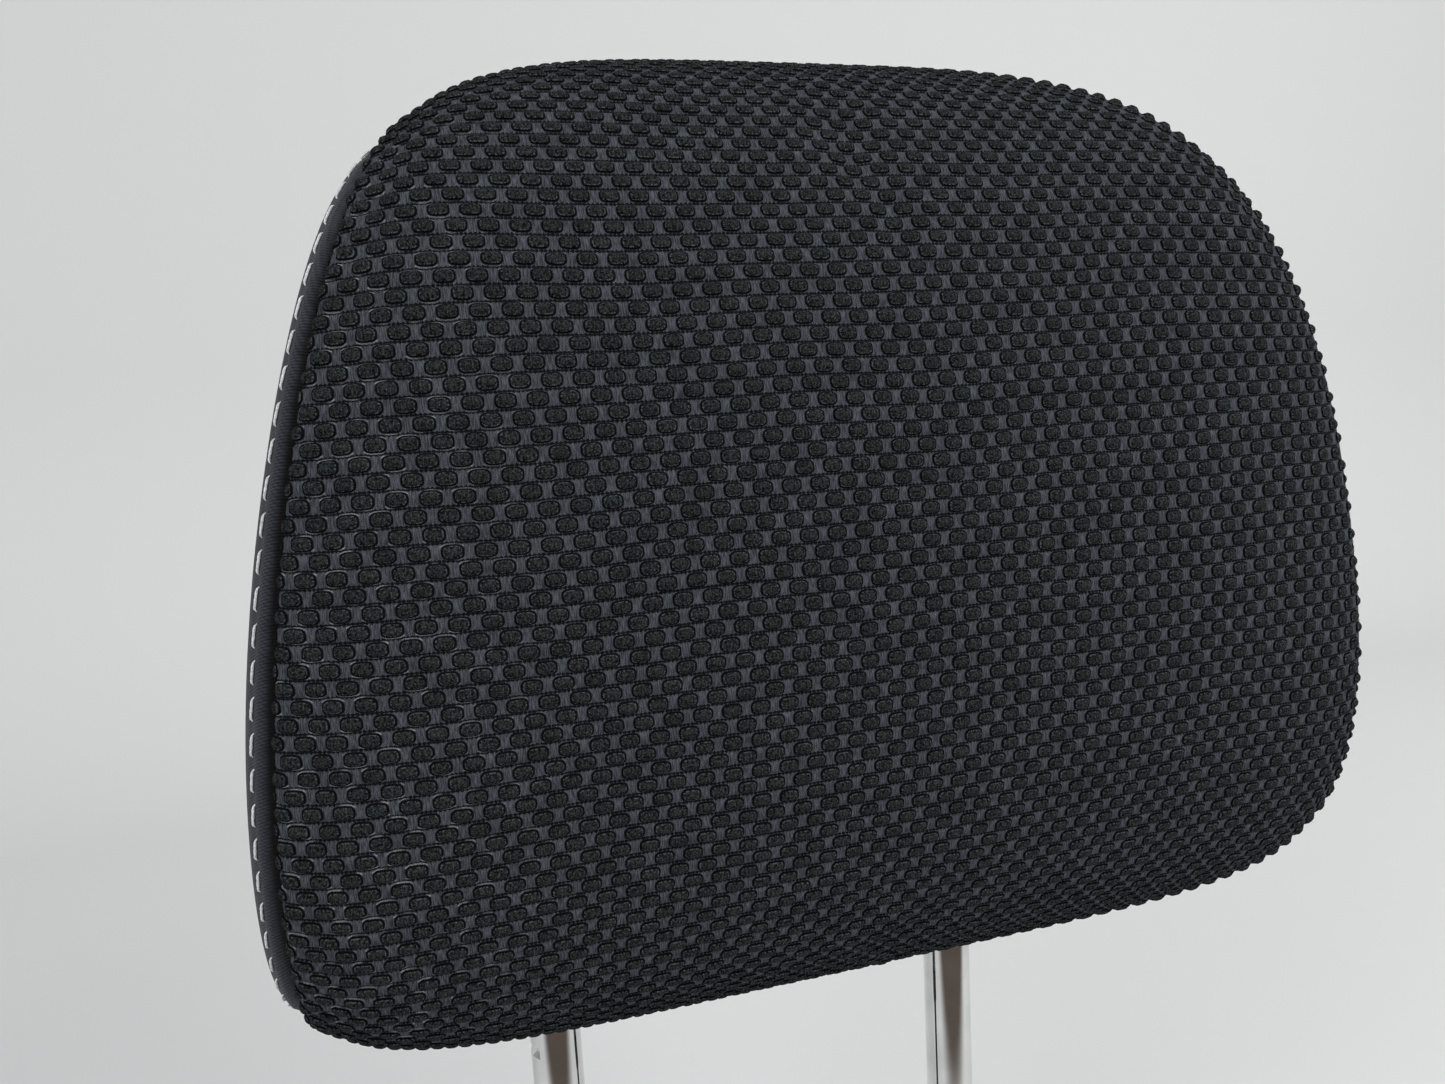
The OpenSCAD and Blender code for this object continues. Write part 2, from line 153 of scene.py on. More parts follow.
def side_point(side, p, k):
    """Points of a side panel from its seam (k = 0) to its middle (k = 1)."""
    seam = wrap_point(p, side * np.ones_like(p))
    ring = wrap_point(np.linspace(0, 360, 721)[:-1], side * np.ones(720))
    mid = (ring.max(0) + ring.min(0)) / 2
    reach = np.hypot(seam[..., 1] - mid[1], seam[..., 2] - mid[2])
    out = seam + (mid - seam) * k[..., None]
    skin, flat = stretched(ring, mid, seam, k)
    out[..., 0] = skin + (seam[..., 0] - flat) * (1 - k) ** 24
    span = (ring.max(0) - ring.min(0)) / 2
    off = ((out[..., 1] - mid[1]) / span[1]) ** 2 + ((out[..., 2] - mid[2]) / span[2]) ** 2
    out[..., 0] += side * (seam_inset(k * reach) + SWELL * (1 - (1 - k) ** 4) * (1 - 0.25 * off))
    return out


# ================================================================ meshes
def grid_faces(rows, cols, wrap_rows=False):
    """Quads of a grid of points given row by row, closed from last row to first if asked."""
    r = np.arange(rows if wrap_rows else rows - 1)[:, None]
    c = np.arange(cols - 1)[None, :]
    nxt = (r + 1) % rows
    return np.stack([r * cols + c, r * cols + c + 1, nxt * cols + c + 1, nxt * cols + c], -1).reshape(-1, 4)


def mesh_object(name, co, faces, uv=None, to_seam=None):
    """A mesh object from arrays, with optional UV maps for the weave and the seam distance in mm."""
    me = bpy.data.meshes.new(name)
    me.vertices.add(len(co))
    me.vertices.foreach_set("co", np.asarray(co, np.float32).ravel())
    n = len(faces)
    width = faces.shape[1]
    me.loops.add(n * width)
    me.loops.foreach_set("vertex_index", faces.astype(np.int32).ravel())
    me.polygons.add(n)
    me.polygons.foreach_set("loop_start", np.arange(0, n * width, width, dtype=np.int32))
    me.update(calc_edges=True)
    me.polygons.foreach_set("use_smooth", np.full(n, True))
    if uv is not None:
        layer = me.uv_layers.new(name="fabric")
        layer.data.foreach_set("uv", np.asarray(uv, np.float32)[faces.ravel()].ravel())
    if to_seam is not None:
        near = np.stack([to_seam / MM, np.zeros_like(to_seam)], -1)
        layer = me.uv_layers.new(name="seam")
        layer.data.foreach_set("uv", near.astype(np.float32)[faces.ravel()].ravel())
    me.validate()
    ob = bpy.data.objects.new(name, me)
    bpy.context.scene.collection.objects.link(ob)
    return ob


def drop_thin_faces(co, faces, least=2e-10):
    """Leaves out quads squeezed to nothing where a panel is cut at its seam."""
    a, b, c, d = (co[faces[:, i]] for i in range(4))
    area = np.linalg.norm(np.cross(c - a, d - b), axis=1)
    return faces[area > least]


def grid_normals(pts, flip=1.0):
    """Unit normals of a grid of points."""
    du = np.gradient(pts, axis=1)
    dv = np.gradient(pts, axis=0)
    n = np.cross(du, dv) * flip
    return n / np.maximum(np.linalg.norm(n, axis=-1, keepdims=True), 1e-12)


def from_flange(pts):
    """Distance of each point, seen from below, from the outline of the nearest post bezel."""
    dx = np.abs(pts[..., 0]) - POST_X
    dy = pts[..., 1] - np.clip(pts[..., 1], SLOT_FROM, SLOT_TO)
    return np.hypot(dx, dy) - FLANGE_R


def tuck(pts):
    """Draws the underside in round the two post bezels, behind their flanges."""
    away = from_flange(pts)
    t = np.clip((away - 0.2 * MM) / (5.5 * MM), 0, 1)
    pull = (1 - t) ** 2 * (1 + 2 * t) * (pts[..., 2] < MID_Z - 0.07)
    out = pts.copy()
    out[..., 2] += (FLANGE_TOP - pts[..., 2]) * pull
    return out


def open_slots(co, faces):
    """Leaves out the quads of the underside that lie behind the bezel flanges."""
    mid = co[faces].mean(1)
    hidden = (from_flange(mid) < -2.2 * MM) & (mid[:, 2] < MID_Z - 0.07)
    return faces[~hidden]


def seam_normal(side, p):
    """Outward normal of the wrap just before its seam on one side."""
    edge = wrap_point(p, side * np.full_like(p, 0.985))
    inner = wrap_point(p, side * np.full_like(p, 0.97))
    ahead = wrap_point(p + 0.4, side * np.full_like(p, 0.985))
    n = np.cross(ahead - edge, (edge - inner) * side)
    centre = np.array([0, edge[..., 1].mean(), edge[..., 2].mean()])
    n *= np.sign(((edge - centre) * n * np.array([0, 1, 1])).sum(-1, keepdims=True))
    return n / np.linalg.norm(n, axis=-1, keepdims=True)


# ================================================================ cloth simulation
SIM_P, SIM_U, SIM_K = 96, 41, 9
SIM_SHRINK = 1.2 * MM
SIM_CAP = 4.0 * MM


def simulate_cover():
    """Blows the sewn cover up with cloth pressure between its pinned seams.

    Returns how far each point of the wrap grid and of the two side grids moved."""
    p = np.linspace(0, 360, SIM_P + 1)[:-1]
    u = np.linspace(-1, 1, SIM_U)
    k = np.linspace(0, 0.97, SIM_K)
    pp, uu = np.meshgrid(p, u, indexing="ij")
    wrap = wrap_point(pp, uu)
    pk, kk = np.meshgrid(p, k, indexing="ij")
    sides = [side_point(side, pk, kk) for side in (-1, 1)]
    co = [wrap.reshape(-1, 3)]
    faces = [grid_faces(SIM_P, SIM_U, True)]
    base = len(co[0])
    for side, pts in zip((-1, 1), sides):
        ring = np.arange(SIM_P) * SIM_U + (0 if side < 0 else SIM_U - 1)
        inner = base + np.arange(SIM_P * (SIM_K - 1)).reshape(SIM_P, SIM_K - 1)
        index = np.concatenate([ring[:, None], inner], 1)
        f = grid_faces(SIM_P, SIM_K, True)
        f = index.reshape(-1)[f]
        faces.append(f[:, ::-1] if side > 0 else f)
        co.append(pts[:, 1:].reshape(-1, 3))
        base += SIM_P * (SIM_K - 1)
    co, faces = np.concatenate(co), np.concatenate(faces)
    ob = mesh_object("cloth_blank", co, faces)
    nn = np.array([v.normal for v in ob.data.vertices])
    centre = co.mean(0)
    if ((co - centre) * nn).sum() < 0:
        ob.data.flip_normals()
        nn = -nn
    start = co - nn * SIM_SHRINK
    edge = np.minimum(1 - np.abs(uu), 1).ravel()
    hold = np.zeros(len(co))
    hold[: SIM_P * SIM_U] = np.where(edge < 1e-6, 1.0, 0.0)
    back_seam = np.abs(pp - KNIT_TO) < 2
    closing_seam = np.abs(pp - (360 + KNIT_FROM)) < 2
    bezel = (from_flange(wrap) < 2 * MM) & (wrap[..., 2] < MID_Z - 0.07)
    hold[: SIM_P * SIM_U] = np.maximum(hold[: SIM_P * SIM_U], (back_seam | closing_seam | bezel).ravel())
    start = np.where(hold[:, None] > 0, co, start)
    ob.data.vertices.foreach_set("co", start.astype(np.float32).ravel())
    group = ob.vertex_groups.new(name="pins")
    group.add([int(i) for i in np.where(hold > 0)[0]], 1.0, "REPLACE")
    cloth = ob.modifiers.new("cloth", "CLOTH")
    cs = cloth.settings
    cs.quality = 6
    cs.mass = 0.25
    cs.tension_stiffness = cs.compression_stiffness = 25
    cs.shear_stiffness = 12
    cs.bending_stiffness = 1.5
    cs.vertex_group_mass = "pins"
    cs.use_pressure = True
    cs.uniform_pressure_force = 4.0
    cs.effector_weights.gravity = 0
    cloth.collision_settings.use_collision = False
    scene = bpy.context.scene
    for f in range(1, 21):
        scene.frame_set(f)
    dg = bpy.context.evaluated_depsgraph_get()
    done = ob.evaluated_get(dg).data
    out = np.zeros(len(co) * 3, np.float32)
    done.vertices.foreach_get("co", out)
    move = out.reshape(-1, 3) - co
    far = np.linalg.norm(move, axis=1, keepdims=True)
    move *= np.minimum(1, SIM_CAP / np.maximum(far, 1e-9))
    mean_mm, most_mm = (round(float(v) / MM, 2) for v in (far.mean(), far.max()))
    print("cloth moved", mean_mm, "mm on average,", most_mm, "at most")
    bpy.data.objects.remove(ob)
    scene.frame_set(1)
    wrap_move = move[: SIM_P * SIM_U].reshape(SIM_P, SIM_U, 3)
    found = [wrap_move]
    base = SIM_P * SIM_U
    for side in (-1, 1):
        inner = move[base : base + SIM_P * (SIM_K - 1)].reshape(SIM_P, SIM_K - 1, 3)
        edge_move = wrap_move[:, 0 if side < 0 else -1][:, None]
        both = np.concatenate([edge_move, inner], 1)
        wave = np.fft.rfft(both, axis=0)
        order = np.arange(len(wave))[:, None, None]
        fade = (1 - k[None, :, None]) ** (order * 0.6 + 1.5 * (order > 0))
        found.append(np.fft.irfft(wave * fade, SIM_P, axis=0))
        base += SIM_P * (SIM_K - 1)
    return found


def catmull(f):
    """Weights of the four grid points round a place at fraction f between the middle two."""
    f2, f3 = f * f, f * f * f
    before, after = -f3 + 2 * f2 - f, f3 - f2
    return [0.5 * before, 0.5 * (3 * f3 - 5 * f2 + 2), 0.5 * (-3 * f3 + 4 * f2 + f), 0.5 * after]


def sample(grid, p, b):
    """Smoothly reads a grid of moves at profile angles p and column positions b."""
    rows, cols = grid.shape[:2]
    a = (p % 360) / 360 * rows
    ia, ib = np.floor(a).astype(int), np.clip(np.floor(b).astype(int), 0, cols - 2)
    wa, wb = catmull(a - ia), catmull(b - ib)
    out = np.zeros(p.shape + (3,))
    for i in range(4):
        for j in range(4):
            cell = grid[(ia + i - 1) % rows, np.clip(ib + j - 1, 0, cols - 1)]
            out += (wa[i] * wb[j])[..., None] * cell
    return out


wrap_move, left_move, right_move = simulate_cover()


def cover_point(p, u):
    return wrap_point(p, u) + sample(wrap_move, p, (u + 1) / 2 * (SIM_U - 1))


def panel_point(side, p, k):
    return side_point(side, p, k) + sample(left_move if side < 0 else right_move, p, k / 0.97 * (SIM_K - 1))


# ================================================================ the knit
def girth_table():
    """Profile angles and the length along the pad's middle line up to each, over the knit."""
    p = np.linspace(KNIT_FROM, KNIT_TO, 4000)
    pts = cover_point(p, np.zeros_like(p))
    step = np.linalg.norm(np.diff(pts, axis=0), axis=1)
    return p, np.concatenate([[0], np.cumsum(step)])


GIRTH_P, GIRTH_T = girth_table()
ROWS = int(GIRTH_T[-1] / ROW_H)
ROW = GIRTH_T[-1] / ROWS


def across(p, s):
    """Cross positions u at the distances s from the middle line, and the distance to the seam."""
    u = np.linspace(0, 1, 401)
    out = np.zeros((len(p), len(s)))
    edge = np.zeros(len(p))
    pts = wrap_point(np.repeat(p[:, None], len(u), 1), np.repeat(u[None], len(p), 0))
    step = np.linalg.norm(np.diff(pts, axis=1), axis=2)
    run = np.concatenate([np.zeros((len(p), 1)), np.cumsum(step, axis=1)], 1)
    for i in range(len(p)):
        out[i] = np.sign(s) * np.interp(np.abs(s), run[i], u)
        edge[i] = run[i, -1]
    return out, edge


def smoothstep(a, b, x):
    t = np.clip((x - a) / (b - a), 0, 1)
    return t * t * (3 - 2 * t)


def knit_height(col, row):
    """Relief of the knit in metres at column and row coordinates."""
    line = np.floor(row + 1e-6)
    v = row - line - 0.5
    w = (col + 0.5 * (line % 2)) % 1.0 - 0.5
    rho = (np.abs(w / 0.33) ** 3 + np.abs(v / 0.415) ** 3) ** (1 / 3)
    dome = 1.05 * np.clip(1 - rho**2.6, 0, 1) ** 0.6
    bar = 0.34 * np.clip(1 - np.abs(v / 0.5) ** 3, 0, 1)
    bar *= smoothstep(0.98, 1.25, rho)
    return (dome + bar) * MM


def wander(t, s):
    """How far the hand-pulled knit strays from its even grid, along and across, in metres."""
    calm = smoothstep(0, 15 * MM, t) * smoothstep(0, 15 * MM, GIRTH_T[-1] - t)
    along = np.sin(78 * t + 55 * s) + np.sin(101 * s - 47 * t + 1.0) + 0.6 * np.sin(160 * s + 95 * t + 2.3)
    aside = np.sin(66 * t - 40 * s + 0.5) + 0.7 * np.sin(120 * t + 85 * s + 1.7)
    return WANDER * calm * along, WANDER * calm * aside


def end_dip(p, from_ends):
    """How far two panels sewn across the pad dip at their seam, along the surface's own normal."""
    ny, nz = profile(p)[2:]
    inward = np.stack([np.zeros_like(ny), ny, nz], -1)[:, None]
    return inward * (1.1 * MM * np.exp(-((from_ends / (1.6 * MM)) ** 2)))[..., None]


def knit_panel(name, row_from, row_to):
    """One run of knit rows, from seam to seam."""
    first, last = row_from * LINES_PER_ROW, row_to * LINES_PER_ROW
    lines = np.arange(max(first - 2, 0), min(last + 2, ROWS * LINES_PER_ROW) + 1)
    t = lines / LINES_PER_ROW * ROW
    p = np.interp(t, GIRTH_T, GIRTH_P)
    step = CELL_W / COLS_PER_CELL
    half = int(math.ceil(0.125 / step))
    s = np.arange(-half, half + 1) * step
    u, edge = across(p, s)
    reach = int(math.ceil(edge.max() / step)) + 1
    keep = slice(half - reach, half + reach + 1)
    s, u = s[keep], u[:, keep]
    along, aside = wander(t[:, None], s[None])
    pp = np.interp(t[:, None] + along, GIRTH_T, GIRTH_P)
    base = cover_point(pp, u + aside / half_width(pp) * (1 - u**4))
    normal = grid_normals(base)
    # a squeezed cell outside the seam has no normal of its own
    solid = np.abs(u) < 1 - 1e-6
    for i in range(len(p)):
        inside = np.where(solid[i])[0]
        normal[i, : inside[0] + 1] = normal[i, inside[0] + 2]
        normal[i, inside[-1] :] = normal[i, inside[-1] - 2]
    own = (lines >= first) & (lines <= last)
    lines, base, normal, edge = lines[own], base[own], normal[own], edge[own]
    sr = np.clip(s[None], -edge[:, None], edge[:, None])
    to_seam = edge[:, None] - np.abs(sr)
    row = np.repeat((lines / LINES_PER_ROW)[:, None], len(s), 1)
    from_ends = np.minimum(row, ROWS - row) * ROW
    relief = knit_height(sr / CELL_W, row) * smoothstep(0.1 * MM, 1.0 * MM, to_seam)
    relief *= smoothstep(0.3 * MM, 2.2 * MM, from_ends)
    valley = SEAM_SINK * np.exp(-((to_seam / (1.5 * MM)) ** 2))
    pts = tuck(base) + normal * (relief - valley)[..., None]
    co = (pts - end_dip(p[own], from_ends)).reshape(-1, 3)
    uv = np.stack([sr / CELL_W, row], -1).reshape(-1, 2)
    faces = open_slots(co, drop_thin_faces(co, grid_faces(len(lines), len(s))))
    return mesh_object(name, co, faces, uv, to_seam.ravel())


# ================================================================ plain panels and stitches
def back_panel():
    p = np.linspace(KNIT_TO, 360 + KNIT_FROM, 120)
    u = np.linspace(-1, 1, 161)
    pp, uu = np.meshgrid(p, u, indexing="ij")
    base = cover_point(pp, uu)
    n = grid_normals(base)
    run = np.linalg.norm(np.diff(base[:, 80], axis=0), axis=1)
    t = np.concatenate([[0], np.cumsum(run)])
    ends = np.minimum(t, t[-1] - t)[:, None]
    to_seam = (1 - np.abs(uu)) * half_width(pp)
    valley = 1.4 * MM * np.exp(-((to_seam / (1.8 * MM)) ** 2))
    co = (base - n * valley[..., None] - end_dip(p, np.broadcast_to(ends, pp.shape))).reshape(-1, 3)
    uv = np.stack([(uu * half_width(pp)) / MM, np.repeat(t[:, None], len(u), 1) / MM], -1).reshape(-1, 2)
    near = np.minimum(np.broadcast_to(ends, pp.shape), to_seam).ravel()
    return mesh_object("back_panel", co, grid_faces(len(p), len(u)), uv, near)


def side_panel(side):
    p = np.linspace(0, 360, 241)[:-1]
    k = np.concatenate([np.linspace(0, 0.12, 20)[:-1], np.linspace(0.12, 0.98, 26)])
    pp, kk = np.meshgrid(p, k, indexing="ij")
    base = panel_point(side, pp, kk)
    n = grid_normals(base, side)
    seam = base[:, :1]
    run = np.linalg.norm(base - seam, axis=-1)
    pull = 0.2 * MM * np.exp(-(((run - STITCH_INSET) / (0.9 * MM)) ** 2))
    valley = SEAM_SINK * np.exp(-((run / (1.1 * MM)) ** 2))
    inward = seam_normal(side, p)[:, None]
    co = (base - n * pull[..., None] - inward * valley[..., None]).reshape(-1, 3)
    mid = base[:, -1].mean(0)
    co = np.vstack([co, mid[None]])
    ring = np.arange(len(p)) * len(k) + len(k) - 1
    middle = np.full(len(p) // 2, len(co) - 1)
    fan = np.stack([middle, np.roll(ring, -2)[::2], np.roll(ring, -1)[::2], ring[::2]], -1)
    faces = np.concatenate([grid_faces(len(p), len(k), True), fan])
    length = np.cumsum(np.linalg.norm(np.diff(base, axis=1, prepend=base[:, :1]), axis=2), axis=1)
    inside = (mid - seam[:, 0])[:, None, 1:]
    inside = inside / np.linalg.norm(inside, axis=-1, keepdims=True)
    extra = (length - run) * (1 - k) ** 2
    uv = (base[..., 1:] - inside * extra[..., None]).reshape(-1, 2) / MM
    uv = np.vstack([uv, mid[None, 1:] / MM])
    near = np.append(run.ravel(), 0.08)
    ob = mesh_object("side_panel_" + ("left" if side < 0 else "right"), co, faces, uv, near)
    return ob, (base, n, run)


def stitches(side, grid):
    """A row of separate thread stitches that dip into the cloth at both ends."""
    base, n, run = grid

    def at_inset(field):
        rows = range(len(run))
        found = [[np.interp(STITCH_INSET, run[i], field[i, :, a]) for a in range(3)] for i in rows]
        return np.array(found + found[:1])

    line, norm = at_inset(base), at_inset(n)
    t = np.concatenate([[0], np.cumsum(np.linalg.norm(np.diff(line, axis=0), axis=1))])
    count = int(t[-1] / STITCH_PITCH)
    rings, sides = 11, 10
    co, faces = [], []
    for i in range(count):
        centre = (i + 0.5) * t[-1] / count
        at = centre + np.linspace(-0.5, 0.5, rings) * STITCH_LEN
        pos = np.stack([np.interp(at % t[-1], t, line[:, a]) for a in range(3)], -1)
        up = np.stack([np.interp(at % t[-1], t, norm[:, a]) for a in range(3)], -1)
        along = np.gradient(pos, axis=0)
        along /= np.linalg.norm(along, axis=1, keepdims=True)
        cross = np.cross(along, up)
        x = np.linspace(-1, 1, rings)
        slant = 0.22 * MM * x
        lift = STITCH_R * (1.1 - 2.6 * np.abs(x) ** 8)
        axis_line = pos + up * (lift - 0.1 * MM)[:, None] + cross * slant[:, None]
        first = i * rings * sides
        for j in range(rings):
            g = np.arange(sides) / sides * 2 * np.pi
            r = STITCH_R * (1 + 0.13 * np.cos(2 * (g - 5.5 * x[j]))) * (1 - 0.35 * abs(x[j]) ** 3)
            around = np.cos(g)[:, None] * up[j] + np.sin(g)[:, None] * cross[j]
            co.append(axis_line[j] + r[:, None] * around)
        ring = first + np.arange(rings * sides).reshape(rings, sides)
        nxt = np.roll(ring, -1, 1)
        faces.append(np.stack([ring[:-1], nxt[:-1], nxt[1:], ring[1:]], -1).reshape(-1, 4))
    word = "left" if side < 0 else "right"
    return mesh_object("topstitch_thread_" + word, np.concatenate(co), np.concatenate(faces))


# ================================================================ materials
def new_material(name, base, rough):
    """A material with its Principled shader and a small helper to add nodes."""
    mat = bpy.data.materials.new(name)
    mat.use_nodes = True
    nt = mat.node_tree
    shader = nt.nodes["Principled BSDF"]
    shader.inputs["Base Color"].default_value = (*base, 1)
    shader.inputs["Roughness"].default_value = rough
    return mat, nt, shader


class Graph:
    """Short names for the node sums that the materials share."""

    def __init__(self, nt):
        self.nt = nt

    def node(self, kind, **values):
        n = self.nt.nodes.new("ShaderNode" + kind)
        for key, value in values.items():
            setattr(n, key, value)
        return n

    def link(self, a, b):
        self.nt.links.new(a, b)

    def put(self, socket, value):
        if isinstance(value, bpy.types.NodeSocket):
            self.link(value, socket)
        else:
            socket.default_value = value

    def math(self, op, a, b=None):
        n = self.node("Math", operation=op)
        self.put(n.inputs[0], a)
        if b is not None:
            self.put(n.inputs[1], b)
        return n.outputs[0]

    def ramp(self, x, a, b, lo=0.0, hi=1.0):
        n = self.node("MapRange", interpolation_type="SMOOTHSTEP")
        for key, value in (("Value", x), ("From Min", a), ("From Max", b), ("To Min", lo), ("To Max", hi)):
            self.put(n.inputs[key], value)
        return n.outputs[0]

    def mix(self, fac, a, b):
        n = self.node("Mix", data_type="RGBA")
        self.put(n.inputs["Factor"], fac)
        for socket, value in ((n.inputs[6], a), (n.inputs[7], b)):
            self.put(socket, (*value, 1) if isinstance(value, tuple) else value)
        return n.outputs[2]

    def uv(self):
        n = self.node("UVMap", uv_map="fabric")
        sep = self.node("SeparateXYZ")
        self.link(n.outputs[0], sep.inputs[0])
        return n.outputs[0], sep.outputs[0], sep.outputs[1]

    def seam(self):
        """Distance to the nearest seam in millimetres."""
        n = self.node("UVMap", uv_map="seam")
        sep = self.node("SeparateXYZ")
        self.link(n.outputs[0], sep.inputs[0])
        return sep.outputs[0]

    def noise(self, vector, scale, detail=2.0, rough=0.5):
        n = self.node("TexNoise")
        self.link(vector, n.inputs["Vector"])
        n.inputs["Scale"].default_value = scale
        n.inputs["Detail"].default_value = detail
        n.inputs["Roughness"].default_value = rough
        return n.outputs["Fac"]

    def stretch(self, vector, scale):
        n = self.node("VectorMath", operation="MULTIPLY")
        self.link(vector, n.inputs[0])
        n.inputs[1].default_value = scale
        return n.outputs[0]

    def bump(self, height, distance, strength=1.0):
        n = self.node("Bump")
        n.inputs["Strength"].default_value = strength
        n.inputs["Distance"].default_value = distance
        self.link(height, n.inputs["Height"])
        return n.outputs[0]


def knit_material():
    mat, nt, shader = new_material("knit", (0.02, 0.02, 0.02), 0.85)
    g = Graph(nt)
    uv, col, row = g.uv()
    line = g.math("FLOOR", row)
    odd = g.math("MULTIPLY", g.math("FLOORED_MODULO", line, 2.0), 0.5)
    w = g.math("SUBTRACT", g.math("FRACT", g.math("ADD", col, odd)), 0.5)
    v = g.math("SUBTRACT", g.math("SUBTRACT", row, line), 0.5)
    wa = g.math("POWER", g.math("ABSOLUTE", g.math("DIVIDE", w, 0.328)), 3.0)
    va = g.math("POWER", g.math("ABSOLUTE", g.math("DIVIDE", v, 0.395)), 3.0)
    rho = g.math("POWER", g.math("ADD", wa, va), 1 / 3)
    in_cell = g.ramp(rho, 1.02, 0.93)
    outline = g.math("MULTIPLY", g.ramp(rho, 0.85, 0.94), g.ramp(rho, 1.12, 1.03))
    ring = g.math("MULTIPLY", g.ramp(rho, 0.66, 0.8), g.ramp(rho, 0.92, 0.86))
    filaments = g.noise(g.stretch(uv, (26.0, 1.6, 1.0)), 1.0, 1.0)
    jag = g.noise(g.stretch(uv, (11.0, 2.0, 1.0)), 1.0, 1.0)
    gap_at = g.math("ADD", g.math("ABSOLUTE", v), g.math("MULTIPLY", g.math("SUBTRACT", jag, 0.5), 0.12))
    tooth = g.math("ABSOLUTE", g.math("SUBTRACT", g.math("FRACT", g.math("MULTIPLY", col, 7.0)), 0.5))
    gap_at = g.math("ADD", gap_at, g.math("MULTIPLY", g.math("SUBTRACT", tooth, 0.25), 0.16))
    gap = g.ramp(gap_at, 0.415, 0.465)
    fuzz = g.noise(g.stretch(uv, (9.0, 3.2, 1.0)), 1.0, 3.0, 0.65)
    tone = g.noise(g.stretch(uv, (1.0, 0.55, 1.0)), 0.9, 2.0)
    tint = g.noise(g.stretch(uv, (2.0, 1.1, 1.0)), 1.0, 2.0)
    ribs = g.math("ABSOLUTE", g.math("SUBTRACT", g.math("FRACT", g.math("MULTIPLY", w, 9.5)), 0.5))
    rib = g.math("MULTIPLY", g.ramp(ribs, 0.2, 0.42), g.ramp(rho, 0.62, 0.5))
    bar_col = g.mix(g.ramp(filaments, 0.3, 0.7), (0.02, 0.0235, 0.028), (0.06, 0.067, 0.078))
    cell_col = g.mix(g.ramp(fuzz, 0.36, 0.72), (0.001, 0.0015, 0.0019), (0.0175, 0.021, 0.022))
    cell_col = g.mix(g.math("MULTIPLY", g.ramp(tint, 0.5, 0.72), 0.22), cell_col, (0.022, 0.017, 0.015))
    speck = g.ramp(g.noise(g.stretch(uv, (15.0, 8.0, 1.0)), 1.0, 2.0, 0.6), 0.45, 0.57)
    mark = g.math("MAXIMUM", ring, g.math("MULTIPLY", rib, 0.65))
    mark = g.math("MULTIPLY", g.math("MAXIMUM", mark, 0.25), speck)
    cell_col = g.mix(mark, cell_col, (0.053, 0.06, 0.064))
    colour = g.mix(in_cell, bar_col, cell_col)
    # painted shade: the grooves round each cell and between the rows are painted near black
    dark = g.math("MAXIMUM", g.math("MULTIPLY", outline, 0.96), g.math("MULTIPLY", gap, 0.9))
    colour = g.mix(dark, colour, (0.001, 0.001, 0.002))
    corner = g.math("MULTIPLY", g.ramp(rho, 1.05, 1.12), g.ramp(rho, 1.28, 1.18))
    corner = g.math("MULTIPLY", corner, g.ramp(g.math("ABSOLUTE", v), 0.26, 0.34))
    glint = g.math("MULTIPLY", corner, g.ramp(g.noise(uv, 1.3, 1.0), 0.5, 0.64))
    glint = g.math("MULTIPLY", glint, g.ramp(col, -10.0, -18.0, 0.0, 0.5))
    colour = g.mix(glint, colour, (0.3, 0.31, 0.33))
    # painted shade: the knit is painted near black, with a ragged edge, where it runs down into the seam
    # valley
    seam_shade = g.math("ADD", g.seam(), g.math("MULTIPLY", g.math("SUBTRACT", jag, 0.5), 2.2))
    colour = g.mix(g.ramp(seam_shade, 1.9, 0.9), colour, (0.002, 0.002, 0.003))
    level = g.node("HueSaturation")
    g.link(g.ramp(tone, 0.3, 0.7, 0.96, 1.26), level.inputs["Value"])
    g.link(colour, level.inputs["Color"])
    g.link(level.outputs[0], shader.inputs["Base Color"])
    g.link(g.math("ADD", g.math("MULTIPLY", in_cell, 0.2), 0.7), shader.inputs["Roughness"])
    relief = g.math("MULTIPLY", fuzz, g.math("MULTIPLY", in_cell, 1.6))
    relief = g.math("ADD", relief, g.math("MULTIPLY", filaments, g.math("SUBTRACT", 1.0, in_cell)))
    relief = g.math("ADD", relief, g.math("MULTIPLY", mark, 0.5))
    relief = g.math("SUBTRACT", relief, g.math("MULTIPLY", dark, 0.9))
    g.link(g.bump(relief, 0.3 * MM), shader.inputs["Normal"])
    shader.inputs["Sheen Weight"].default_value = 0.008
    shader.inputs["Sheen Roughness"].default_value = 0.5
    shader.inputs["Specular IOR Level"].default_value = 0.03
    return mat


